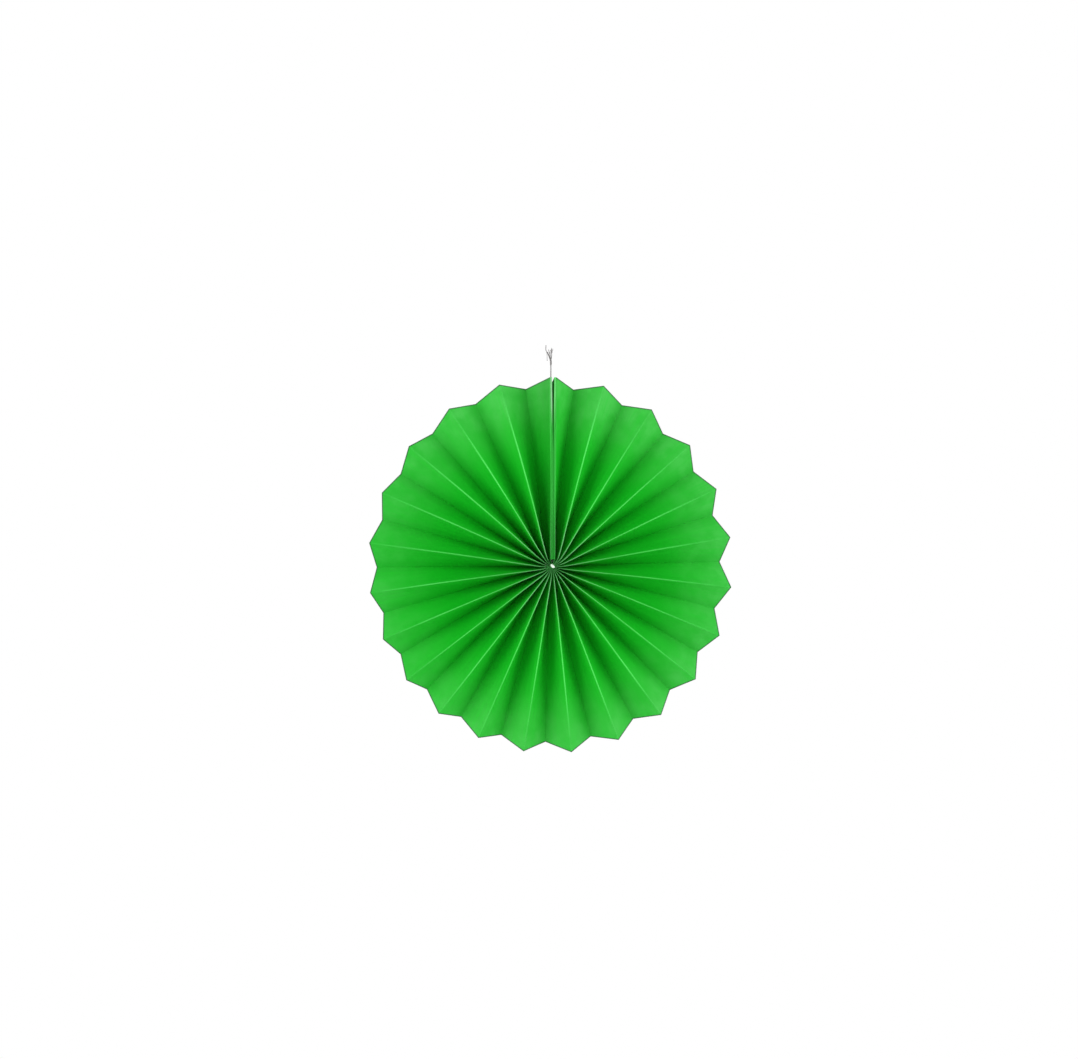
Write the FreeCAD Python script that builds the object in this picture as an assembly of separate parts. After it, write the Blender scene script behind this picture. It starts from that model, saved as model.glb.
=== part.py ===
import FreeCAD, Part
import math
import os

from FreeCAD import Vector

# Paper fan rosette: one folded strip opened into a full disc, closed along a seam at
# the top between two stiff end boards, and hung by a thread that leaves that seam.
# The disc stands in the XZ plane and its front faces -Y. The origin is the knot in the
# hanging thread, where the rosette is held.

# Pleated strip
pleat_count = 23
tip_radius = 148.8
notch_depth = 8.1
leaf_width = 23.0
rim_depth = 11.0
paper_thickness = 0.2
fold_blunting = 2.0
mitre_share = 0.8
crease_bulge = 1.2
leaf_bow = 0.6

# How the opened pleats are spread round the disc: shares of a mean leaf, and where each
# swell has its peak, in degrees clockwise from the top
top_spread = 0.071
top_spread_turn = 10.0
cross_spread = 0.025
cross_spread_turn = -26.5
seam_leaf_share = 0.8
hub_seam_share = 2.3
seam_share_reach = 0.15
oval_draw = 1.7
oval_turn = -14.0

# Hub, where the inner ends of the leaves are gathered
hub_packing = 1.35
hub_dip = 3.5
hub_dip_reach = 4.5

# Seam: end boards, the tape between them and the gap that opens towards the rim
board_thickness = 1.4
board_to_binding = 0.5
seam_leaf_lead = 0.3
tape_thickness = 0.4
tape_edge_margin = 1.0
gap_start = 92.0
rim_gap = 1.8
glue_clearance = 0.1

# Binding thread: a ring through all leaves, its ends led out to a knot in front
binding_diameter = 0.8
binding_radius = 4.6
binding_clearance = 0.1
hole_sides = 8
binding_knot_length = 3.0
binding_knot_width = 2.0
binding_knot_turn = 40.0

# Hanging thread, nipped between the boards, with a knot and two short tails above
thread_diameter = 0.9
thread_clearance = 0.02
thread_rise = 13.5
hanging_knot_length = 3.2
hanging_knot_width = 2.2
tail_diameter = 0.6

# Worked out from the sizes above
leaf_count = 2 * pleat_count
notch_radius = tip_radius - notch_depth
half_width = leaf_width / 2
binding_hole = binding_diameter + 2 * binding_clearance
slot_width = binding_hole + paper_thickness
hub_leaves = leaf_count + 2 * (hub_seam_share - 1)
hub_radius = (hub_leaves * paper_thickness * hub_packing + slot_width) / (2 * math.pi)
board_start = binding_radius + binding_diameter / 2 + board_to_binding
board_outer = tape_thickness / 2 + board_thickness
seam_offset = board_outer + glue_clearance + paper_thickness / 2
settled_radius = board_start - seam_leaf_lead
settled_way = (settled_radius - hub_radius) / (tip_radius - hub_radius)
top = tip_radius + oval_draw * math.cos(math.radians(2 * oval_turn))
hub_drop = top + thread_rise

# Where each twisted leaf is creased across, as shares of the way from hub to rim
stations = (0, settled_way, 2.5 * settled_way, 0.15, 0.3, 0.44, 0.57, 0.69, 0.8, 0.9, 1)


def fold_shares(share_along):
    """Share of the full turn taken up to each fold, wider at the top than below. The
    leaves next to the straight end leaves need more room than the others at the hub."""
    settled = min(1.0, share_along / seam_share_reach)
    seam_share = hub_seam_share + (seam_leaf_share - hub_seam_share) * settled
    shares = [0.0]
    for leaf in range(leaf_count):
        turn = 2 * math.pi * (leaf + 0.5) / leaf_count
        share = 1 + top_spread * math.cos(turn - math.radians(top_spread_turn))
        share += cross_spread * math.cos(2 * (turn - math.radians(cross_spread_turn)))
        if leaf in (0, leaf_count - 1):
            share *= seam_share
        shares.append(shares[-1] + share)
    return [share / shares[-1] for share in shares]


def half_depth(radius):
    """Distance of a fold from the disc's middle plane, dipping where the hub is tied."""
    way = (radius - hub_radius) / (tip_radius - hub_radius)
    line = half_width + (rim_depth / 2 - half_width) * way
    bulge = crease_bulge * 4 * way * (1 - way)
    return line + bulge - dip(radius)


def dip(radius):
    """How far the fold ends are drawn in at the hub."""
    return hub_dip * math.exp(-(((radius - hub_radius) / hub_dip_reach) ** 2))


def half_gap(radius):
    """Half of the opening between the boards beyond the tape."""
    open_way = max(0.0, (radius - gap_start) / (tip_radius - gap_start))
    return (rim_gap - tape_thickness) / 2 * open_way


def seam_half(radius):
    """Distance of the end leaves from the seam plane, closing in below the boards."""
    inner = slot_width / 2
    way = min(1.0, (radius - hub_radius) / (settled_radius - hub_radius))
    return inner + (seam_offset - inner) * way + half_gap(radius)


def oval_stretch(angle, share_along):
    """How far a fold is drawn out, or in, by the disc hanging slightly out of round."""
    return oval_draw * share_along * math.cos(2 * (angle - math.radians(oval_turn)))


def fold_line(share_along):
    """Folds across the strip at one station, each as arc length, depth and radius, with
    the strip's two end edges before and after them."""
    tip = hub_radius + (tip_radius - hub_radius) * share_along
    notch = hub_radius + (notch_radius - hub_radius) * share_along
    start = seam_half(tip)
    run = 2 * math.pi * tip - 2 * start
    back_edge = (half_width - dip(notch), notch + oval_stretch(0, share_along))
    folds = [(start, *back_edge)]
    for index, share in enumerate(fold_shares(share_along)):
        angle = (start + run * share) / tip
        if index in (0, leaf_count):
            depth, radius = dip(tip) - half_width, tip
        elif index % 2 == 0:
            depth, radius = -half_depth(tip), tip
        else:
            depth, radius = half_depth(notch), notch
        folds.append((angle * tip, depth, radius + oval_stretch(angle, share_along)))
    return tip, folds + [(start + run, *back_edge)]


def bowed_line(base_radius, folds, share_along):
    """The same line with a point in the middle of each leaf, which bows towards the
    back; the two end leaves lie straight against the stiff boards."""
    bow = leaf_bow * 4 * share_along * (1 - share_along)
    line = folds[:1]
    for index, (fold, following) in enumerate(zip(folds, folds[1:])):
        normal = leaf_normal(fold, following)
        push = 0 if index in (0, len(folds) - 2) else bow
        half_turn = (following[0] - fold[0]) / 2 / base_radius
        middle = (
            (fold[0] + following[0]) / 2 - push * normal[0],
            (fold[1] + following[1]) / 2 - push * normal[1],
            (fold[2] + following[2]) / 2 * math.cos(half_turn),
        )
        line += [middle, following]
    return line


def leaf_normal(start, end):
    """Normal of one leaf's line in the unrolled section, towards the front."""
    run, rise = end[0] - start[0], end[1] - start[1]
    length = math.hypot(run, rise)
    return rise / length, -run / length


def fold_corner(fold, before, after, room, side):
    """Corner of one face of the sheet at a fold: a full mitre inside the fold, as far
    as the leaves leave room, and a blunted one outside it, where the paper bends."""
    across, along = before[0] + after[0], before[1] + after[1]
    spread = math.hypot(across, along)
    outside = (before[0] * after[1] - before[1] * after[0]) * side >= 0
    limit = fold_blunting * paper_thickness if outside else mitre_share * room
    shift = side * min(paper_thickness / spread, limit) / spread
    return fold[0] + shift * across, fold[1] + shift * along


def wrap(corner, base_radius, radius):
    """Point of the unrolled section bent round the hub axis, clockwise from the top."""
    angle = corner[0] / base_radius
    return Vector(radius * math.sin(angle), corner[1], radius * math.cos(angle))


def sheet_section(share_along):
    """Corners of the sheet's front face and of its back face at one station."""
    base_radius, folds = fold_line(share_along)
    line = bowed_line(base_radius, folds, share_along)
    normals = [leaf_normal(a, b) for a, b in zip(line, line[1:])]
    befores = normals[:1] + normals
    afters = normals + normals[-1:]
    runs = [math.dist(a[:2], b[:2]) for a, b in zip(line, line[1:])]
    rooms = [min(pair) for pair in zip(runs[:1] + runs, runs + runs[-1:])]
    radii = [point[2] for point in line]
    faces = []
    for side in (1, -1):
        corners = [fold_corner(*found, side) for found in zip(line, befores, afters, rooms)]
        faces.append([wrap(c, base_radius, radius) for c, radius in zip(corners, radii)])
    return faces


def triangle(a, b, c):
    """Flat three-cornered face."""
    return Part.Face(Part.makePolygon([a, b, c, a]))


def quad(a, b, c, d, split_from_first=True):
    """Two flat triangles that fill a four-cornered cell, split from a corner."""
    if split_from_first:
        return [triangle(a, b, c), triangle(a, c, d)]
    return [triangle(a, b, d), triangle(b, c, d)]


def make_sheet():
    """The whole folded strip as one thin solid. Each half leaf takes its twist in a row
    of flat triangles, split from the back fold's inner end to the front fold's outer."""
    sections = [sheet_section(share_along) for share_along in stations]
    last = len(sections[0][0]) - 1
    faces = []
    for inner, outer in zip(sections, sections[1:]):
        for side in (0, 1):
            near, far = inner[side], outer[side]
            for at in range(last):
                cell = (near[at], near[at + 1], far[at + 1], far[at])
                faces += quad(*cell, split_from_first=at // 2 % 2 == 0)
        for at in (0, last):
            faces += quad(inner[0][at], inner[1][at], outer[1][at], outer[0][at])
    for front, back in (sections[0], sections[-1]):
        for at in range(last):
            faces += quad(front[at], front[at + 1], back[at + 1], back[at])
    return solid_from(faces)


def solid_from(faces):
    """Closed solid from faces that share their edges, with its normals outwards."""
    shell = Part.makeShell(faces)
    shell.sewShape()
    solid = Part.makeSolid(shell)
    if solid.Volume < 0:
        solid.reverse()
    return solid


def turned_section(points):
    """Closed flat face through points in one plane."""
    return Part.Face(Part.makePolygon(points + points[:1]))


def make_board(side):
    """Stiff end board: its bent plan, drawn up through the leaf's width, crossed with
    its outline seen from the side, cut on the same slant as the leaves."""
    inner, outer = tape_thickness / 2, board_outer
    opening = half_gap(tip_radius) / (tip_radius - gap_start)
    spread = opening * (top - gap_start)
    plan = [
        Vector(side * x, -half_width, z)
        for x, z in (
            (inner, board_start),
            (outer, board_start),
            (outer, gap_start),
            (outer + spread, top),
            (inner + spread, top),
            (inner, gap_start),
        )
    ]
    column = turned_section(plan).extrude(Vector(0, leaf_width, 0))
    reach = outer + spread
    outline = [
        Vector(-reach, y, z)
        for y, z in (
            (-half_width, board_start),
            (half_width, board_start),
            (half_width, top - notch_depth),
            (-half_width, top),
        )
    ]
    return column.common(turned_section(outline).extrude(Vector(2 * reach, 0, 0)))


def make_tape():
    """Double-sided tape that holds the two boards together, short of the gap."""
    height = gap_start - board_start - 2 * tape_edge_margin
    depth = leaf_width - 2 * tape_edge_margin
    corner = Vector(
        -tape_thickness / 2, tape_edge_margin - half_width, board_start + tape_edge_margin
    )
    return Part.makeBox(tape_thickness, depth, height, corner)


def binding_ring(outline_of):
    """Ring round the hub axis, midway between front and back, in as many straight runs
    as there are pleats, because the thread is drawn tight from pleat to pleat."""
    reach = binding_radius / math.cos(math.pi / pleat_count)
    corners = []
    for index in range(pleat_count):
        angle = 2 * math.pi * (index + 0.5) / pleat_count
        corners.append(Vector(reach * math.sin(angle), 0, reach * math.cos(angle)))
    start = (corners[0] + corners[-1]) * 0.5
    path = Part.makePolygon([start] + corners + [start])
    return path.makePipeShell([outline_of(start)], True, False, 1)


def thread_outline(centre):
    """Round section of the binding thread where its ring crosses the seam plane."""
    circle = Part.Circle(centre, Vector(1, 0, 0), binding_diameter / 2)
    return Part.Wire([circle.toShape()])


def hole_outline(centre):
    """Eight-sided section of the holes that the leaves have round that thread."""
    reach = (binding_diameter / 2 + binding_clearance) / math.cos(math.pi / hole_sides)
    corners = []
    for index in range(hole_sides + 1):
        angle = 2 * math.pi * (index + 0.5) / hole_sides
        corners.append(centre + Vector(0, reach * math.cos(angle), reach * math.sin(angle)))
    return Part.makePolygon(corners)


def rounded_route(points):
    """Wire of straight runs joined by tangent arcs, as large as the runs allow."""
    edges, radii = [], []
    start = points[0]
    for before, corner, after in zip(points, points[1:], points[2:]):
        back, ahead = before - corner, after - corner
        turn = math.pi - back.getAngle(ahead)
        cut = 0.45 * min(back.Length, ahead.Length)
        back.normalize()
        ahead.normalize()
        first, second = corner + back * cut, corner + ahead * cut
        bend = cut / math.tan(turn / 2)
        middle = back + ahead
        middle.normalize()
        apex = corner + middle * (math.hypot(cut, bend) - bend)
        edges.append(Part.LineSegment(start, first).toShape())
        edges.append(Part.Arc(first, apex, second).toShape())
        radii.append(bend)
        start = second
    edges.append(Part.LineSegment(start, points[-1]).toShape())
    return Part.Wire(edges), radii


def thread_tube(name, points, diameter):
    """Round thread along a route, with its volume checked by section and length."""
    wire, radii = rounded_route(points)
    heading = points[1] - points[0]
    circle = Part.Edge(Part.Circle(points[0], heading, diameter / 2))
    tube = wire.makePipeShell([Part.Wire([circle])], True, False)
    share = tube.Volume / (math.pi * diameter**2 / 4 * wire.Length)
    bends = ", ".join(f"{radius:.1f}" for radius in radii)
    print(f"{name}: length {wire.Length:.1f}, bend radii {bends}, volume share {share:.4f}")
    return tube


def make_knot(centre, length, width, heading):
    """Tightened knot as a barrel with sloped shoulders, about a line through it."""
    profile = [(0.5, 0.25), (0.34, 0.8), (0.14, 1.0), (-0.14, 1.0), (-0.34, 0.8), (-0.5, 0.25)]
    outline = [Vector(x * length, y * width / 2, 0) for x, y in profile]
    outline += [Vector(-length / 2, 0, 0), Vector(length / 2, 0, 0)]
    barrel = turned_section(outline).revolve(Vector(0, 0, 0), Vector(1, 0, 0))
    turn = FreeCAD.Rotation(Vector(1, 0, 0), heading)
    barrel.Placement = FreeCAD.Placement(centre, turn)
    return barrel


def make_binding_thread():
    """Ring, the drawn-out end that runs down the seam slot and forward along the axis,
    and the knot that shows in the middle of the front."""
    mouth = dip(hub_radius) - half_width
    turn = math.radians(binding_knot_turn)
    slant = Vector(math.cos(turn), 0, -math.sin(turn))
    route = [
        Vector(0, 0, binding_radius),
        Vector(0, 0, 0),
        Vector(0, mouth, 0),
    ]
    lead = thread_tube("binding_thread", route, binding_diameter)
    knot = make_knot(route[-1], binding_knot_length, binding_knot_width, slant)
    return binding_ring(thread_outline).fuse([lead, knot]).removeSplitter()


def nip_height():
    """Height above the hub where the gap between the boards takes the thread."""
    half_needed = thread_diameter / 2 + thread_clearance - tape_thickness / 2
    share = max(0.0, half_needed / half_gap(tip_radius))
    return gap_start + (tip_radius - gap_start) * share


def hanging_route():
    """Taut thread from the nip between the boards to the knot."""
    return [Vector(0, 0, nip_height()), Vector(0, 0, hub_drop)]


def make_hanging_thread():
    """Straight thread that carries the rosette, up to the underside of its knot."""
    low, high = hanging_route()
    length = high.z - low.z - hanging_knot_length / 2
    return Part.makeCylinder(thread_diameter / 2, length, low, Vector(0, 0, 1))


def make_hanging_knot():
    """Knot at the end of the hanging thread, with its two forked tails."""
    centre = hanging_route()[-1]
    knot = make_knot(centre, hanging_knot_length, hanging_knot_width, Vector(0, 0, 1))
    left = [(-0.3, 0.0), (-1.0, 6.4), (-3.4, 8.8), (-3.8, 11.8)]
    right = [(0.3, 0.0), (1.3, 6.2), (0.9, 8.8)]
    tails = []
    for name, route in (("left tail", left), ("right tail", right)):
        points = [centre + Vector(x, 0, z) for x, z in route]
        tails.append(thread_tube(name, points, tail_diameter))
    return knot.fuse(tails).removeSplitter()


def main():
    sheet = make_sheet().cut(binding_ring(hole_outline))
    nodes = {
        "pleated_paper": sheet,
        "end_board_left": make_board(-1),
        "end_board_right": make_board(1),
        "seam_tape": make_tape(),
        "binding_thread": make_binding_thread(),
        "hanging_thread": make_hanging_thread(),
        "hanging_knot": make_hanging_knot(),
    }
    os.makedirs("parts", exist_ok=True)
    for name, shape in nodes.items():
        shape.translate(Vector(0, 0, -hub_drop))
        solids = len(shape.Solids)
        print(f"{name}: {solids} solid, {shape.Volume:.1f} mm3, valid {shape.isValid()}")
        shape.exportStep(f"parts/{name}.step")


main()
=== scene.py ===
import math

import bmesh
import bpy
import numpy as np
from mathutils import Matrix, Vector


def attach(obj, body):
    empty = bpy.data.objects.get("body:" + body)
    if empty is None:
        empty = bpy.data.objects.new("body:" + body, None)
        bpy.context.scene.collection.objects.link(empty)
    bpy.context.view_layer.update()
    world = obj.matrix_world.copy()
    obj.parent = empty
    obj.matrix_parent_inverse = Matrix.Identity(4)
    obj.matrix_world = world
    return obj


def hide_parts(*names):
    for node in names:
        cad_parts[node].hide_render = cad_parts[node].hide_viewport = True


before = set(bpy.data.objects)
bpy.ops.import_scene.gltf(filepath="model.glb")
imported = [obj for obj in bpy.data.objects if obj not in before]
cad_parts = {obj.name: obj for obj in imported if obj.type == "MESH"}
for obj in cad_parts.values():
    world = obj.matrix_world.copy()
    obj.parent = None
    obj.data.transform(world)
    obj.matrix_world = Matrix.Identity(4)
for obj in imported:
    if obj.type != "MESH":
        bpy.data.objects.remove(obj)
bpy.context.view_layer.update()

# Viewpoint: in front of the rosette, a little to the left of its seam and a little above
# its hub, and far enough away that the disc shows almost no perspective. The picture's
# frame is shifted so that the hub falls where it belongs in it.
hub_height = -0.16380
view_distance = 2.4
view_turn = math.radians(9.0)
view_rise = math.radians(2.8)
photo_width, photo_height = 1078, 1059
hub_in_photo = (550.9, 565.6)
metres_per_pixel = 0.0008

camera_data = bpy.data.cameras.new("viewpoint")
camera = bpy.data.objects.new("viewpoint", camera_data)
bpy.context.scene.collection.objects.link(camera)
camera_data.sensor_fit = "HORIZONTAL"
camera_data.lens = camera_data.sensor_width * view_distance / (photo_width * metres_per_pixel)
camera_data.shift_x = -(hub_in_photo[0] - photo_width / 2) / photo_width
camera_data.shift_y = (hub_in_photo[1] - photo_height / 2) / photo_width
towards_camera = Vector(
    (
        -math.sin(view_turn) * math.cos(view_rise),
        -math.cos(view_turn) * math.cos(view_rise),
        math.sin(view_rise),
    )
)
camera.location = Vector((0, 0, hub_height)) + view_distance * towards_camera
camera.rotation_euler = towards_camera.to_track_quat("Z", "Y").to_euler()
bpy.context.scene.camera = camera
bpy.context.scene.view_settings.view_transform = "Standard"


# Hanging thread: white two-ply cotton, nipped between the two end boards and drawn
# straight up to its knot by the hand or hook that holds the rosette.
thread_diameter = 0.0009
thread_route = [
    (0.0, 0.0, -0.04989),
    (0.0001, 0.0, -0.035),
    (-0.0001, 0.0, -0.0135),
    (0.0, 0.0, -0.0016),
]
# Painted shade: the hanging thread is white cotton, given two greys for the shade it hangs in.
shaded_thread_light = (0.36, 0.345, 0.345, 1)
shaded_thread_dark = (0.16, 0.15, 0.15, 1)
fuzz_per_metre = 4200
plies_per_metre = 2400
ply_draw = 0.45
matt_gloss = 0.2
fine_relief = 0.0001


class Shade:
    """A number that varies over a surface, worked out by Math nodes in a finish."""

    def __init__(self, finish, socket):
        self.finish = finish
        self.socket = socket

    def math(self, operation, *terms):
        """The result of one Math node on these terms, each a number or a Shade."""
        node = self.finish.node("ShaderNodeMath", {"operation": operation}, dict(enumerate(terms)))
        return Shade(self.finish, node.outputs[0])

    def __add__(self, other):
        return self.math("ADD", self, other)

    __radd__ = __add__

    def __sub__(self, other):
        return self.math("SUBTRACT", self, other)

    def __rsub__(self, other):
        return self.math("SUBTRACT", other, self)

    def __mul__(self, other):
        return self.math("MULTIPLY", self, other)

    __rmul__ = __mul__

    def __truediv__(self, other):
        return self.math("DIVIDE", self, other)

    def __rtruediv__(self, other):
        return self.math("DIVIDE", other, self)


class Finish:
    """Nodes of one procedural finish, such as the paper's or the thread's."""

    def __init__(self, owner):
        self.owner = owner
        owner.use_nodes = True
        self.tree = owner.node_tree

    def node(self, kind, settings=None, inputs=None):
        """Adds one node, gives it its settings, and then the values or links of its sockets."""
        made = self.tree.nodes.new(kind)
        for name, value in (settings or {}).items():
            setattr(made, name, value)
        for name, value in (inputs or {}).items():
            self.feed(made.inputs[name], value)
        return made

    def feed(self, socket, value):
        """Links a varying value to a socket, or sets a plain one on it."""
        if isinstance(value, Shade):
            self.tree.links.new(value.socket, socket)
        elif isinstance(value, bpy.types.NodeSocket):
            self.tree.links.new(value, socket)
        else:
            socket.default_value = value

    def mix(self, share, first, second):
        """Colour that goes from the first to the second as the share goes from 0 to 1."""
        made = self.node("ShaderNodeMix", {"data_type": "RGBA"}, {0: share, 6: first, 7: second})
        return made.outputs[2]

    def ease(self, value, start, end, low=0.0, high=1.0):
        """Smooth step from low to high as the value goes from start to end."""
        spans = {"Value": value, "From Min": start, "From Max": end, "To Min": low, "To Max": high}
        made = self.node("ShaderNodeMapRange", {"interpolation_type": "SMOOTHSTEP"}, spans)
        return Shade(self, made.outputs[0])

    def noise(self, vector, scale, detail=3.0):
        """Cloudy pattern from 0 to 1 at so many features a metre."""
        spans = {"Vector": vector, "Scale": scale, "Detail": detail}
        return Shade(self, self.node("ShaderNodeTexNoise", {}, spans).outputs[0])

    def chance(self, number):
        """Value from 0 to 1 that looks random and changes with the number."""
        spans = {"W": number * 0.37}
        made = self.node("ShaderNodeTexWhiteNoise", {"noise_dimensions": "1D"}, spans)
        return Shade(self, made.outputs["Value"])

    def stretch(self, vector, scale):
        """The same coordinates drawn out by a factor on each axis."""
        return self.node("ShaderNodeMapping", {}, {"Vector": vector, "Scale": scale}).outputs[0]

    def surface(self, inputs):
        """Sets or links sockets of the finish's own surface shader."""
        shader = self.tree.nodes["Principled BSDF"]
        for name, value in inputs.items():
            self.feed(shader.inputs[name], value)


def cotton_finish(name, shade_tone, light_tone):
    """Matt twisted cotton: two tones, the darker painted shade between the plies, and a fuzz of
    fine bumps.
    """
    cotton = Finish(bpy.data.materials.new(name))
    on_thread = cotton.node("ShaderNodeTexCoord").outputs["Object"]
    fuzz = cotton.noise(on_thread, fuzz_per_metre, 4)
    plies = cotton.noise(cotton.stretch(on_thread, (1, 1, ply_draw)), plies_per_metre)
    relief = {"Strength": 0.5, "Distance": fine_relief, "Height": fuzz + plies}
    cotton.surface(
        {
            "Base Color": cotton.mix(cotton.ease(plies, 0.4, 0.62), shade_tone, light_tone),
            "Roughness": 0.85,
            "Specular IOR Level": matt_gloss,
            "Normal": cotton.node("ShaderNodeBump", {}, relief).outputs[0],
        }
    )
    return cotton.owner


shaded_hanging_cotton = cotton_finish("shaded_hanging_cotton", shaded_thread_dark, shaded_thread_light)

thread_curve = bpy.data.curves.new("hanging_thread_line", "CURVE")
thread_curve.dimensions = "3D"
thread_spline = thread_curve.splines.new("NURBS")
thread_spline.points.add(len(thread_route) - 1)
for control, place in zip(thread_spline.points, thread_route):
    control.co = (*place, 1)
thread_spline.order_u = 3
thread_spline.use_endpoint_u = True
thread_spline.resolution_u = 12
thread_curve.bevel_depth = thread_diameter / 2
thread_curve.bevel_resolution = 5
thread_curve.use_fill_caps = True
thread_curve.materials.append(shaded_hanging_cotton)
hanging_thread = bpy.data.objects.new("hanging_thread_cotton", thread_curve)
bpy.context.scene.collection.objects.link(hanging_thread)
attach(hanging_thread, "root")
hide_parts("hanging_thread")


# Knot of the hanging thread: the thread wound over itself and pulled tight, with its two
# cut ends forked above it and their plies coming apart.
knot_length = 0.0060
knot_width = 0.0015
knot_middle = (0, 0, -0.0018)
knot_turns = 4
knot_ridge_share = 0.08
tail_diameter = 0.0006
strand_diameter = 0.0004
ply_twist = 2 * math.pi / 0.0022
ply_swell = 0.13
tail_steps = 60
tail_routes = [
    [
        (-0.0004, 0, -0.0006),
        (-0.0013, 0, 0.0026),
        (-0.0027, 0, 0.0058),
        (-0.0042, 0, 0.0080),
        (-0.0040, 0, 0.0108),
    ],
    [(0.0001, 0, -0.0006), (0.0006, 0, 0.0034), (0.0006, 0, 0.0078)],
]
strand_routes = [
    [(-0.0039, -0.0003, 0.0076), (-0.0032, -0.0005, 0.0058), (-0.0031, -0.0004, 0.0016)],
    [(0.0000, -0.0003, -0.0006), (0.0002, -0.0005, 0.0036), (0.0012, -0.0002, 0.0074)],
    [(-0.0004, 0.0003, -0.0006), (-0.0015, 0.0003, 0.0034), (-0.0008, 0.0001, 0.0068)],
    [(-0.0001, -0.0004, -0.0006), (-0.0010, -0.0005, 0.0030), (-0.0023, -0.0003, 0.0056)],
    [(-0.0002, -0.0002, -0.0006), (-0.0011, -0.0004, 0.0036), (-0.0017, -0.0002, 0.0070)],
    [(0.0000, 0.0002, -0.0006), (-0.0005, 0.0003, 0.0038), (0.0001, 0.0001, 0.0072)],
]


def thread_path(route, steps):
    """Smooth line drawn in by its control points: each point is a weighted mean of three
    neighbouring control points, with weights (1-t)^2/2, 1/2+t(1-t) and t^2/2. One more
    control point is added in line at each end, so that the line runs half a step past
    the first and the last."""
    controls = np.array([route[0], *route, route[-1]], float)
    controls[0] = 2 * controls[1] - controls[2]
    controls[-1] = 2 * controls[-2] - controls[-3]
    travel = np.linspace(0, len(controls) - 2, steps)
    span = np.minimum(travel.astype(int), len(controls) - 3)
    t = (travel - span)[:, None]
    before, middle, after = controls[span], controls[span + 1], controls[span + 2]
    return before * (1 - t) ** 2 / 2 + middle * (0.5 + t * (1 - t)) + after * t**2 / 2


def twisted_tube(path, radius, twist, plies, flat_normal, around=16):
    """Tube along a path. Its radius swells by a share of the cosine of plies times the
    angle round it plus the twist, and it rounds off to a point at both ends."""
    tangent = np.gradient(path, axis=0)
    tangent /= np.linalg.norm(tangent, axis=1)[:, None]
    across = np.cross(np.array(flat_normal, float), tangent)
    across /= np.linalg.norm(across, axis=1)[:, None]
    over = np.cross(tangent, across)
    travelled = np.r_[0, np.cumsum(np.linalg.norm(np.diff(path, axis=0), axis=1))]
    to_end = np.minimum(travelled, travelled[-1] - travelled) / radius
    closing = np.sqrt(np.clip(1 - np.clip(1 - to_end, 0, 1) ** 2, 0, 1))
    angle = np.linspace(0, 2 * np.pi, around, endpoint=False)
    swell = 1 + ply_swell * np.cos(plies * angle[None, :] + twist * travelled[:, None])
    reach = radius * closing[:, None] * swell
    ring = np.cos(angle)[:, None] * across[:, None] + np.sin(angle)[:, None] * over[:, None]
    return path[:, None] + reach[..., None] * ring


def wound_knot(centre, length, width, heading, turns, ridge_share, rows=64, around=40):
    """Barrel of wound thread: its radius falls off as the square root of one minus the
    square of the way from its middle to its end. One ridge winds round it, so many turns
    in each half, and three lower ridges run straight along it."""
    along = np.linspace(-1, 1, rows)[:, None]
    angle = np.linspace(0, 2 * np.pi, around, endpoint=False)[None, :]
    barrel = np.clip(1 - along**2, 0, 1) ** 0.5
    winding = 2 * np.pi * turns * along + angle
    ridges = 1 + ridge_share * (np.cos(winding) + 0.5 * np.cos(3 * angle))
    reach = width / 2 * barrel * ridges
    axis = np.array(heading, float) / np.linalg.norm(heading)
    across = np.cross(axis, (0.0, 1.0, 0.0))
    over = np.cross(axis, across)
    places = np.array(centre, float) + (along * length / 2)[..., None] * axis
    return places + reach[..., None] * (
        np.cos(angle)[..., None] * across + np.sin(angle)[..., None] * over
    )


def thread_piece(name, tubes, finish):
    """One mesh from tubes, each a grid of points with a row for each step along it. The
    rows are closed round, and the points that meet at an end are merged into one."""
    corners, quads, used = [], [], 0
    for tube in tubes:
        rows, around = tube.shape[:2]
        index = used + np.arange(rows * around).reshape(rows, around)
        turned = np.roll(index, -1, axis=1)
        quads.append(
            np.stack([index[:-1], turned[:-1], turned[1:], index[1:]], axis=-1).reshape(-1, 4)
        )
        corners.append(tube.reshape(-1, 3))
        used += rows * around
    mesh = bpy.data.meshes.new(name)
    mesh.from_pydata(np.concatenate(corners).tolist(), [], np.concatenate(quads).tolist())
    work = bmesh.new()
    work.from_mesh(mesh)
    bmesh.ops.remove_doubles(work, verts=work.verts, dist=1e-7)
    bmesh.ops.recalc_face_normals(work, faces=work.faces)
    work.to_mesh(mesh)
    work.free()
    mesh.shade_smooth()
    mesh.materials.append(finish)
    piece = bpy.data.objects.new(name, mesh)
    bpy.context.scene.collection.objects.link(piece)
    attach(piece, "root")
    return piece


knot_parts = [
    wound_knot(knot_middle, knot_length, knot_width, (0, 0, 1), knot_turns, knot_ridge_share)
]
for routes, radius in ((tail_routes, tail_diameter / 2), (strand_routes, strand_diameter / 2)):
    for route in routes:
        path = thread_path(route, tail_steps)
        knot_parts.append(twisted_tube(path, radius, ply_twist, 2, (0, 1, 0)))
hanging_knot = thread_piece("hanging_knot_wound", knot_parts, shaded_hanging_cotton)
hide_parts("hanging_knot")


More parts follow.
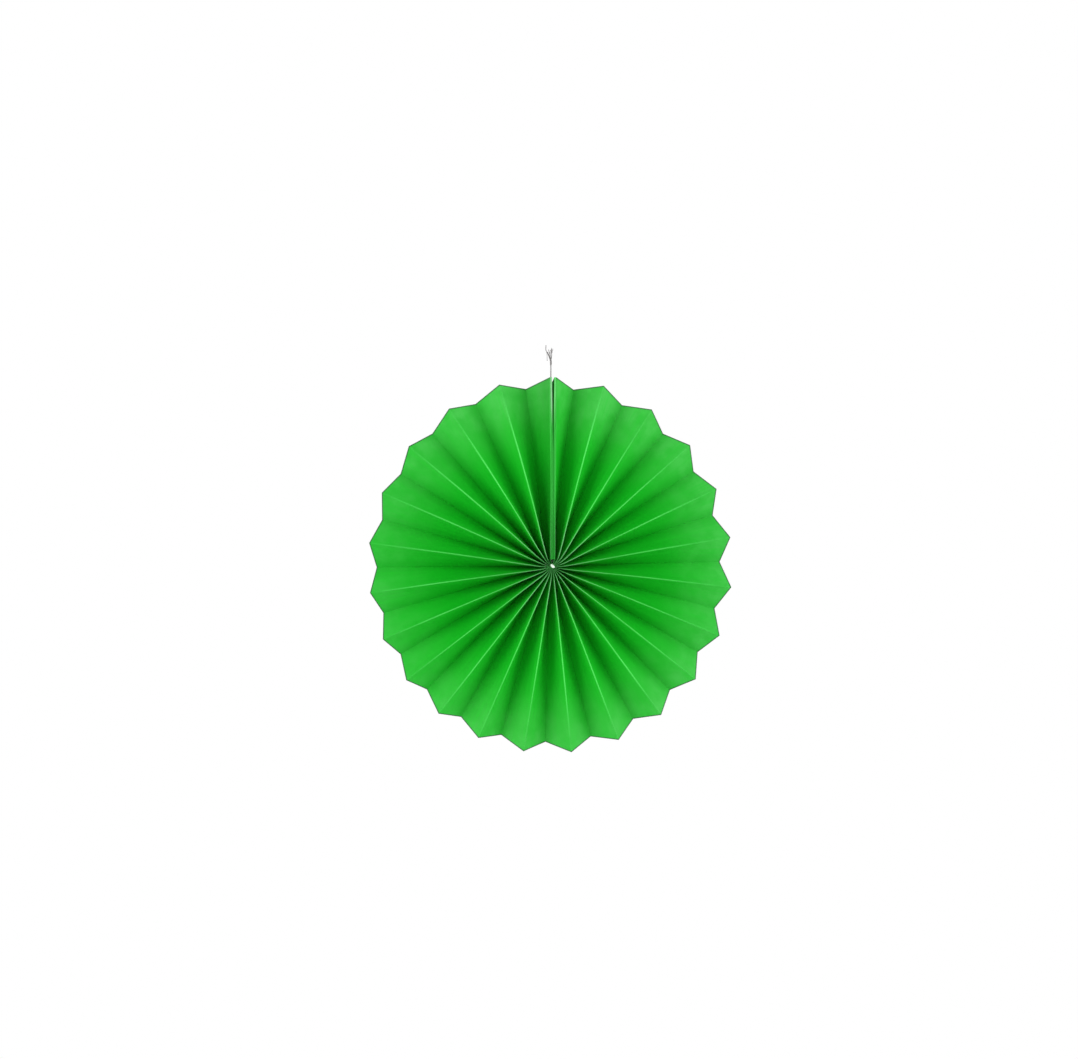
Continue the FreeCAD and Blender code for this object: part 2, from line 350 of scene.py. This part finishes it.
# Pleated paper: one strip of smooth green paper folded into leaves 23 mm wide and opened
# into a full disc. Its inner folds are gathered at the hub, and its two end leaves are
# glued flat to the end boards.
pleat_count = 23
leaf_count = 2 * pleat_count
tip_radius = 0.1488
notch_radius = 0.1407
half_width = 0.0115
half_rim_depth = 0.0055
crease_bulge = 0.0012
leaf_bow = 0.0006
paper_thickness = 0.0002
top_spread = 0.071
top_spread_turn = math.radians(10.0)
cross_spread = 0.025
cross_spread_turn = math.radians(-26.5)
seam_leaf_share = 0.8
hub_seam_share = 2.3
seam_share_reach = 0.09
oval_draw = 0.0017
oval_turn = math.radians(-14.0)
hub_dip = 0.0035
hub_dip_reach = 0.0045
slot_width = 0.0012
hub_packing = 1.35
hub_leaves = leaf_count + 2 * (hub_seam_share - 1)
hub_radius = (hub_leaves * paper_thickness * hub_packing + slot_width) / (2 * math.pi)
settled_radius = 0.0052
hub_pinch = 0.0010
hub_pinch_reach = 0.0018
seam_offset = 0.0018
gap_start = 0.092
half_opening = 0.0007
ripple_height = 0.00022
fewest_waves, most_waves = 1.2, 3.0
crease_angle = math.radians(28)
rows_out = 88
row_gather = 1.5
leaf_steps = np.array([0, 0.03, 0.09, 0.2, 0.35, 0.5, 0.65, 0.8, 0.91, 0.97])


def hub_dip_at(radius):
    """Draw-in of the fold ends: a bell curve of the distance from the hub radius."""
    return hub_dip * np.exp(-(((radius - hub_radius) / hub_dip_reach) ** 2))


def pinched(radius):
    """Distance from the hub axis once the thread has drawn the fold ends together: a bell
    curve of the distance from the hub radius is taken off."""
    return radius - hub_pinch * np.exp(-(((radius - hub_radius) / hub_pinch_reach) ** 2))


def fold_depth(radius):
    """Half of the disc's depth: a straight line from the hub to the rim, plus a bulge of
    four times w(1-w) of the way out, less the draw-in at the hub."""
    way = (radius - hub_radius) / (tip_radius - hub_radius)
    line = half_width + (half_rim_depth - half_width) * way
    return line + crease_bulge * 4 * way * (1 - way) - hub_dip_at(radius)


def fold_shares(way_out):
    """Share of the turn up to each fold: the running sum of one plus a small cosine of the
    turn and a smaller cosine of twice it. The two seam leaves are scaled by a factor that
    dies away exponentially from its value at the hub to its value at the rim."""
    turn = 2 * np.pi * (np.arange(leaf_count) + 0.5) / leaf_count
    shares = 1 + top_spread * np.cos(turn - top_spread_turn)
    shares = shares + cross_spread * np.cos(2 * (turn - cross_spread_turn))
    shares = np.tile(shares, (len(way_out), 1))
    settled = 1 - np.exp(-way_out / seam_share_reach)
    seam = hub_seam_share + (seam_leaf_share - hub_seam_share) * settled
    shares[:, 0] *= seam
    shares[:, -1] *= seam
    total = np.cumsum(shares, axis=1)
    return np.c_[np.zeros(len(way_out)), total] / total[:, -1:]


def fold_points(way_out):
    """Place of each fold at each distance out, bent round the hub axis: x is the radius
    times the sine of the angle, z the radius times its cosine, y the fold's depth, to the
    front and to the back by turns. The strip's two end edges come first and last."""
    tip = hub_radius + (tip_radius - hub_radius) * way_out
    notch = hub_radius + (notch_radius - hub_radius) * way_out
    closing = np.minimum(1, (tip - hub_radius) / (settled_radius - hub_radius))
    start = slot_width / 2 + (seam_offset - slot_width / 2) * closing
    start += half_opening * np.maximum(0, (tip - gap_start) / (tip_radius - gap_start))
    run = 2 * np.pi * tip - 2 * start
    angle = (start[:, None] + run[:, None] * fold_shares(way_out)) / tip[:, None]
    stretch = oval_draw * way_out[:, None] * np.cos(2 * (angle - oval_turn))
    to_front = np.arange(leaf_count + 1) % 2 == 0
    depth = np.where(to_front, -fold_depth(tip)[:, None], fold_depth(notch)[:, None])
    depth[:, [0, -1]] = (hub_dip_at(tip) - half_width)[:, None]
    radius = pinched(np.where(to_front, tip[:, None], notch[:, None])) + stretch
    end_depth = (half_width - hub_dip_at(notch))[:, None]
    end_radius = (pinched(notch) + oval_draw * way_out * np.cos(2 * oval_turn))[:, None]
    angle = np.c_[angle[:, :1], angle, angle[:, -1:]]
    depth = np.c_[end_depth, depth, end_depth]
    radius = np.c_[end_radius, radius, end_radius]
    return np.stack([radius * np.sin(angle), depth, radius * np.cos(angle) + hub_height], axis=-1)


def leaf_surface(way_out):
    """Each leaf runs straight from fold to fold, then moves along its normal, to the back,
    by the bow and a faint ripple, both times 4w(1-w) of the way across the leaf."""
    folds = fold_points(way_out)
    first, second = folds[:, :-1, None], folds[:, 1:, None]
    across = np.append(leaf_steps, 1.0)[None, None, :]
    flat = first + (second - first) * across[..., None]
    outwards = np.gradient((folds[:, :-1] + folds[:, 1:]) / 2, axis=0)
    normal = np.cross(outwards, folds[:, 1:] - folds[:, :-1])
    normal /= np.linalg.norm(normal, axis=-1)[..., None]
    normal *= np.sign(normal[..., 1:2])
    chance = np.random.default_rng(7)
    phase = chance.uniform(0, 2 * np.pi, leaf_count + 2)
    waves = chance.uniform(fewest_waves, most_waves, leaf_count + 2)
    size = chance.uniform(-1, 1, leaf_count + 2)
    out = way_out[:, None]
    push = leaf_bow * 4 * out * (1 - out)
    push = push + ripple_height * size * out * np.sin(2 * np.pi * waves * out + phase)
    push[:, [0, -1]] = 0
    moved = flat + (push[..., None] * 4 * across * (1 - across))[..., None] * normal[:, :, None]
    inner = moved[:, :, :-1].reshape(len(way_out), -1, 3)
    return np.concatenate([inner, moved[:, -1:, -1]], axis=1)


def strip_mesh(name, surface, way_out):
    """Grid mesh with a map of the strip: across it from 0 to 1, and out along the leaves."""
    rows, columns = surface.shape[:2]
    index = np.arange(rows * columns).reshape(rows, columns)
    quads = np.stack([index[:-1, :-1], index[:-1, 1:], index[1:, 1:], index[1:, :-1]], axis=-1)
    mesh = bpy.data.meshes.new(name)
    mesh.from_pydata(surface.reshape(-1, 3).tolist(), [], quads.reshape(-1, 4).tolist())
    leaves = np.arange(leaf_count + 2)[:, None] + leaf_steps
    across = np.append(leaves.ravel(), leaf_count + 2) / (leaf_count + 2)
    flat = np.stack(np.broadcast_arrays(across[None, :], way_out[:, None]), axis=-1)
    corner = np.zeros(len(mesh.loops), np.int32)
    mesh.loops.foreach_get("vertex_index", corner)
    layer = mesh.uv_layers.new(name="strip")
    layer.data.foreach_set("uv", flat.reshape(-1, 2)[corner].astype(np.float32).ravel())
    mesh.shade_smooth()
    mesh.set_sharp_from_angle(angle=crease_angle)
    ends = np.zeros(len(mesh.edges) * 2, np.int32)
    mesh.edges.foreach_get("vertices", ends)
    row, column = np.divmod(ends.reshape(-1, 2), columns)
    on_end = [(row == 0), (row == rows - 1), (column == 0), (column == columns - 1)]
    rim = np.any([side.all(axis=1) for side in on_end], axis=0)
    sharp = np.zeros(len(mesh.edges), bool)
    mesh.attributes["sharp_edge"].data.foreach_get("value", sharp)
    mesh.attributes["sharp_edge"].data.foreach_set("value", sharp | rim)
    return mesh


paper_green = (0.0035, 0.43, 0.011, 1)
# Pale green of a painted sheen near the rim.
rim_sheen_green = (0.048, 0.52, 0.060, 1)
paper_shade = (0.003, 0.31, 0.009, 1)
# Painted light: a paler green that lifts the hollows near the hub.
hub_lift_green = (0.011, 0.50, 0.018, 1)
seam_shade = (0.002, 0.13, 0.004, 1)
# Crease colours: rubbed wear with a painted highlight near the hub, a painted highlight further
# out.
crease_wear_and_highlight = (0.25, 0.68, 0.29, 1)
crease_highlight = (0.10, 0.76, 0.13, 1)
streak_green = (0.014, 0.53, 0.024, 1)
# Darker line at the very rim of the leaves.
rim_line_green = (0.03, 0.13, 0.04, 1)
crease_width_share = 0.034
crease_least_share = 0.008
streaks_a_leaf = 9
streak_length_share = 0.4
fibres_per_metre = 2600
clouds_per_metre = 80
streak_share = 0.4
leaf_tone_share = 0.12
valley_shade_share = 0.3
left_shadow_hub, left_shadow_rim = 0.72, 0.38
right_shadow_hub = 0.8
left_crease_dim_hub, left_crease_dim_rim = 0.85, 0.3
least_crease_mark = 0.75
least_side_sheen, most_side_sheen = 0.6, 1.15
least_cloud_sheen, most_cloud_sheen = 0.55, 1.25
crease_hub_offset = 0.1

# Stretches of the way out, from 0 at the hub to 1 at the rim, over which a tone changes.
mouth_span = (0.0, 0.08)
hub_lift_start_span = (0.03, 0.16)
hub_lift_end_span = (0.02, 0.5)
crease_highlight_span = (0.04, 0.4)
right_shadow_span = (0.05, 0.4)
left_shadow_span = (0.25, 0.7)
valley_shade_span = (0.35, 0.75)
left_crease_dim_span = (0.4, 0.9)
rim_sheen_span = (0.56, 1.08)
rim_line_span = (0.992, 0.996)
crease_fade_start, crease_fade_spread = 0.4, 0.3

paper = Finish(bpy.data.materials.new("green_paper"))
on_strip = paper.node("ShaderNodeUVMap", {"uv_map": "strip"}).outputs[0]
on_paper = paper.node("ShaderNodeTexCoord")
facing = paper.node("ShaderNodeSeparateXYZ", {}, {0: on_paper.outputs["Normal"]})
spot = paper.node("ShaderNodeSeparateXYZ", {}, {0: on_paper.outputs["Object"]})
split = paper.node("ShaderNodeSeparateXYZ", {}, {0: on_strip})
across_strip = Shade(paper, split.outputs[0]) * (leaf_count + 2)
way = Shade(paper, split.outputs[1])
leaf_tone = paper.chance(across_strip.math("FLOOR", across_strip))
crease_tone = paper.chance(across_strip.math("FLOOR", across_strip * 0.5) + 0.3)
streak_grid = (leaf_count * streaks_a_leaf, 1 / streak_length_share, 1)
streaks = paper.noise(paper.stretch(on_strip, streak_grid), 1, 4)
fibres = paper.noise(on_paper.outputs["Object"], fibres_per_metre, 5)
clouds = paper.noise(on_paper.outputs["Object"], clouds_per_metre, 4)

# The creases that stand up on the side that is seen are painted paler, partly rubbed wear and
# partly a painted highlight. The line is widest at the hub, where the folds are pressed together,
# and fades towards the rim.
from_front_fold = across_strip.math("PINGPONG", across_strip - 1, 1)
on_back = paper.ease(Shade(paper, facing.outputs[1]), -0.01, 0.01)
from_ridge = from_front_fold + on_back * (1 - 2 * from_front_fold)
ridge_width = crease_width_share / (way + crease_hub_offset) + crease_least_share
ridge = paper.ease(1 - from_ridge / ridge_width, 0.0, 0.6)
fade_start = crease_tone * crease_fade_spread + crease_fade_start
ridge = ridge * paper.ease(way, fade_start, 1.0, 1, 0.1)
ridge = ridge * paper.ease(streaks, 0.25, 0.6, least_crease_mark, 1)
ridge = ridge * paper.ease(way, *mouth_span, 0.6, 1)

# The two slanted leaves beside the seam get a painted shadow, darker than the rest, most of all
# near the hub, and the painted highlight on the fold of the left one is dimmed.
left_of_seam = paper.ease(across_strip, leaf_count - 0.1, leaf_count + 0.8)
left_of_seam = left_of_seam * paper.ease(across_strip, leaf_count + 0.95, leaf_count + 1.05, 1, 0)
right_of_seam = paper.ease(across_strip, 0.95, 1.05) * paper.ease(across_strip, 1.9, 2.1, 1, 0)
left_shadow = paper.ease(way, *left_shadow_span, left_shadow_hub, left_shadow_rim)
right_shadow = paper.ease(way, *right_shadow_span, right_shadow_hub, 0)
seam_shadow = left_of_seam * left_shadow + right_of_seam * right_shadow
dimmed_left_crease = left_of_seam * paper.ease(way, *left_crease_dim_span, left_crease_dim_hub, left_crease_dim_rim)
ridge = ridge * (1 - dimmed_left_crease)

# Painted sheen: the paper is painted paler towards the rim, in cloudy patches and most of all at
# the upper right, where the light falls.
to_upper_right = Shade(paper, spot.outputs[0]) + Shade(paper, spot.outputs[2]) - hub_height
sheen_strength = paper.ease(to_upper_right, -0.2, 0.15, least_side_sheen, most_side_sheen)
sheen_strength = sheen_strength * paper.ease(clouds, 0.3, 0.7, least_cloud_sheen, most_cloud_sheen)
rim_sheen = paper.ease(way, *rim_sheen_span) * sheen_strength
# Painted light: the paper near the hub is painted paler to lift the hollows between the folds, a
# little less at the very mouth.
hub_lift = paper.ease(way, *hub_lift_end_span, 1, 0) * paper.ease(way, *hub_lift_start_span, 0.4, 1)
# Painted shade: the leaves are painted darker towards the valley folds, in the outer half.
valley_shade = paper.ease(way, *valley_shade_span, 0, valley_shade_share)
valley_shade = paper.ease(from_ridge, 0.5, 1.0) * valley_shade
crease_colour = paper.mix(paper.ease(way, *crease_highlight_span), crease_wear_and_highlight, crease_highlight)
paper_colour = paper.mix(hub_lift, paper_green, hub_lift_green)
for share, colour in (
    (rim_sheen, rim_sheen_green),
    (paper.ease(streaks, 0.4, 0.75, 0, streak_share), streak_green),
    (leaf_tone * leaf_tone_share, paper_green),
    (valley_shade, paper_shade),
    (seam_shadow, seam_shade),
    (ridge, crease_colour),
    (paper.ease(way, *rim_line_span), rim_line_green),
):
    paper_colour = paper.mix(share, paper_colour, colour)
paper_relief = {"Strength": 0.25, "Distance": fine_relief, "Height": fibres * 0.4 + streaks}
paper.surface(
    {
        "Base Color": paper_colour,
        "Roughness": 0.5 + streaks * 0.1,
        "Specular IOR Level": matt_gloss,
        "Normal": paper.node("ShaderNodeBump", {}, paper_relief).outputs[0],
    }
)

rows_way = np.linspace(0, 1, rows_out) ** row_gather
strip = strip_mesh("pleated_paper_strip", leaf_surface(rows_way), rows_way)
strip.materials.append(paper.owner)
pleated_paper = bpy.data.objects.new("pleated_paper_strip", strip)
bpy.context.scene.collection.objects.link(pleated_paper)
thickness = pleated_paper.modifiers.new("paper_thickness", "SOLIDIFY")
thickness.thickness = paper_thickness
thickness.offset = 0
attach(pleated_paper, "root")
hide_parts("pleated_paper")


# End boards: two stiff strips of green card on the seam, glued to the end leaves. Their cut edges
# show the paler core of the card, with painted shade that darkens them towards the hub.
card_face = (0.01, 0.36, 0.02, 1)
edge_left_rim = (0.26, 0.62, 0.28, 1)
edge_right_rim = (0.14, 0.64, 0.16, 1)
edge_middle = (0.028, 0.40, 0.040, 1)
edge_hub_shaded = (0.014, 0.24, 0.022, 1)
edge_shade_span = (-0.150, -0.100)
pale_core_span = (-0.056, -0.028)
pulp_per_metre = 2400
pulp_draw = 0.06

card = Finish(bpy.data.materials.new("green_card"))
on_card = card.node("ShaderNodeTexCoord")
card_normal = card.node("ShaderNodeSeparateXYZ", {}, {0: on_card.outputs["Normal"]})
card_spot = card.node("ShaderNodeSeparateXYZ", {}, {0: on_card.outputs["Object"]})
broad_face = Shade(card, card_normal.outputs[0])
cut_edge = card.ease(broad_face * broad_face, 0.3, 0.7, 1, 0)
along_card = card.stretch(on_card.outputs["Object"], (1, 1, pulp_draw))
pulp = card.noise(along_card, pulp_per_metre, 3)
board_side = card.ease(Shade(card, card_spot.outputs[0]), -0.0002, 0.0002)
up_board = Shade(card, card_spot.outputs[2])
# Painted shade: the cut edges are darker towards the hub.
inner_colour = card.mix(card.ease(up_board, *edge_shade_span), edge_hub_shaded, edge_middle)
outer_colour = card.mix(board_side, edge_left_rim, edge_right_rim)
core_colour = card.mix(card.ease(up_board, *pale_core_span), inner_colour, outer_colour)
core_colour = card.mix(card.ease(pulp, 0.35, 0.7, 0.25, 0), core_colour, card_face)
card_relief = {"Strength": 0.2, "Distance": fine_relief, "Height": pulp}
card.surface(
    {
        "Base Color": card.mix(cut_edge, card_face, core_colour),
        "Roughness": 0.8,
        "Specular IOR Level": matt_gloss,
        "Normal": card.node("ShaderNodeBump", {}, card_relief).outputs[0],
    }
)
for board in ("end_board_left", "end_board_right"):
    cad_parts[board].data.materials.clear()
    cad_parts[board].data.materials.append(card.owner)


# Seam tape: thin double-sided tape between the two boards, set back from their edges.
# It holds the opened disc closed.
tape_colour = (0.010, 0.24, 0.018, 1)
tape_light = (0.020, 0.32, 0.030, 1)
cells_per_metre = 3000

tape = Finish(bpy.data.materials.new("foam_tape"))
on_tape = tape.node("ShaderNodeTexCoord").outputs["Object"]
cells = tape.noise(on_tape, cells_per_metre, 3)
tape_relief = {"Strength": 0.3, "Distance": fine_relief, "Height": cells}
tape.surface(
    {
        "Base Color": tape.mix(tape.ease(cells, 0.35, 0.65), tape_colour, tape_light),
        "Roughness": 0.9,
        "Specular IOR Level": matt_gloss,
        "Normal": tape.node("ShaderNodeBump", {}, tape_relief).outputs[0],
    }
)
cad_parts["seam_tape"].data.materials.clear()
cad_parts["seam_tape"].data.materials.append(tape.owner)


# Binding thread: the same cotton, run through every leaf close to the hub and drawn
# tight, with its ends led out along the hub axis to a small knot on the front.
binding_radius = 0.0046
binding_diameter = 0.0008
binding_turn = math.radians(40)
binding_mouth = hub_dip - half_width
binding_lean = 0.0001
binding_knot_length = 0.0040
binding_knot_width = 0.0024
binding_knot_turns = 2
binding_ridge_share = 0.015
lead_set_back = 0.0007
ring_steps = 160
lead_steps = 40
binding_white = (0.90, 0.98, 0.90, 1)
binding_shade = (0.80, 0.92, 0.80, 1)

ring_angle = 2 * np.pi * (np.arange(pleat_count + 2) - 0.5) / pleat_count
ring_route = np.stack(
    [
        binding_radius * np.sin(ring_angle),
        np.zeros(len(ring_angle)),
        binding_radius * np.cos(ring_angle) + hub_height,
    ],
    axis=-1,
)
lead_route = [
    (0, 0, hub_height + binding_radius),
    (0, 0, hub_height + 0.001),
    (0, -0.001, hub_height),
    (0, binding_mouth + lead_set_back, hub_height),
]
ring_path = thread_path(ring_route.tolist(), ring_steps)
lead_path = thread_path(lead_route, lead_steps)
binding_parts = [
    twisted_tube(ring_path, binding_diameter / 2, ply_twist, 2, (0, 1, 0)),
    twisted_tube(lead_path, binding_diameter / 2, ply_twist, 2, (1, 0, 0)),
    wound_knot(
        (binding_lean, binding_mouth, hub_height),
        binding_knot_length,
        binding_knot_width,
        (math.cos(binding_turn), 0, -math.sin(binding_turn)),
        binding_knot_turns,
        binding_ridge_share,
    ),
]
binding_cotton = cotton_finish("binding_cotton", binding_shade, binding_white)
binding_thread = thread_piece("binding_thread_wound", binding_parts, binding_cotton)
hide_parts("binding_thread")


# Studio: a plain white floor well below the rosette, a white surround, and two large soft
# lamps at the sides with a weaker one in front.
floor_height = -0.72
floor_reach = 14
shadow_share = 0.25
shadow_start, shadow_end = 0.8, 1.03
fill_light = 0.42

floor_mesh = bpy.data.meshes.new("floor")
floor_mesh.from_pydata(
    [
        (-floor_reach, -floor_reach, floor_height),
        (floor_reach, -floor_reach, floor_height),
        (floor_reach, floor_reach, floor_height),
        (-floor_reach, floor_reach, floor_height),
    ],
    [],
    [(0, 1, 2, 3)],
)
floor = bpy.data.objects.new("floor", floor_mesh)
bpy.context.scene.collection.objects.link(floor)
floor_finish = Finish(bpy.data.materials.new("white_floor"))
floor_finish.surface({"Base Color": (0.9, 0.9, 0.9, 1), "Roughness": 0.9})
rays = floor_finish.node("ShaderNodeLightPath")
seen = Shade(floor_finish, rays.outputs["Is Camera Ray"])
glow = floor_finish.node("ShaderNodeEmission", {}, {"Color": (1, 1, 1, 1), "Strength": 1.0})
floor_spot = floor_finish.node("ShaderNodeTexCoord").outputs["Object"]
away = floor_finish.node("ShaderNodeVectorMath", {"operation": "LENGTH"}, {0: floor_spot})
from_middle = Shade(floor_finish, away.outputs["Value"])
shadowed = floor_finish.ease(from_middle, shadow_start, shadow_end, shadow_share, 0)
shown = floor_finish.node(
    "ShaderNodeMixShader",
    {},
    {
        0: seen * (1 - shadowed),
        1: floor_finish.tree.nodes["Principled BSDF"].outputs[0],
        2: glow.outputs[0],
    },
)
floor_finish.feed(floor_finish.tree.nodes["Material Output"].inputs[0], shown.outputs[0])
floor_mesh.materials.append(floor_finish.owner)

surround = Finish(bpy.data.worlds.new("white_surround"))
bpy.context.scene.world = surround.owner
rays = surround.node("ShaderNodeLightPath")
direct = Shade(surround, rays.outputs["Is Camera Ray"])
for ray in ("Is Glossy Ray", "Is Transmission Ray"):
    direct = direct.math("MAXIMUM", direct, rays.outputs[ray])
backdrop = surround.tree.nodes["Background"]
surround.feed(backdrop.inputs["Color"], (1, 1, 1, 1))
surround.feed(backdrop.inputs["Strength"], direct * (1 - fill_light) + fill_light)

for name, place, size, power in (
    ("left_lamp", (-1.9, -0.9, 0.1), 1.5, 27),
    ("right_lamp", (1.9, -0.9, 0.1), 1.5, 25.5),
    ("front_lamp", (0.1, -2.5, 1.4), 1.6, 15),
):
    lamp_data = bpy.data.lights.new(name, "AREA")
    lamp_data.shape = "SQUARE"
    lamp_data.size = size
    lamp_data.energy = power
    lamp = bpy.data.objects.new(name, lamp_data)
    bpy.context.scene.collection.objects.link(lamp)
    lamp.location = place
    from_hub = lamp.location - Vector((0, 0, hub_height))
    lamp.rotation_euler = from_hub.to_track_quat("Z", "Y").to_euler()
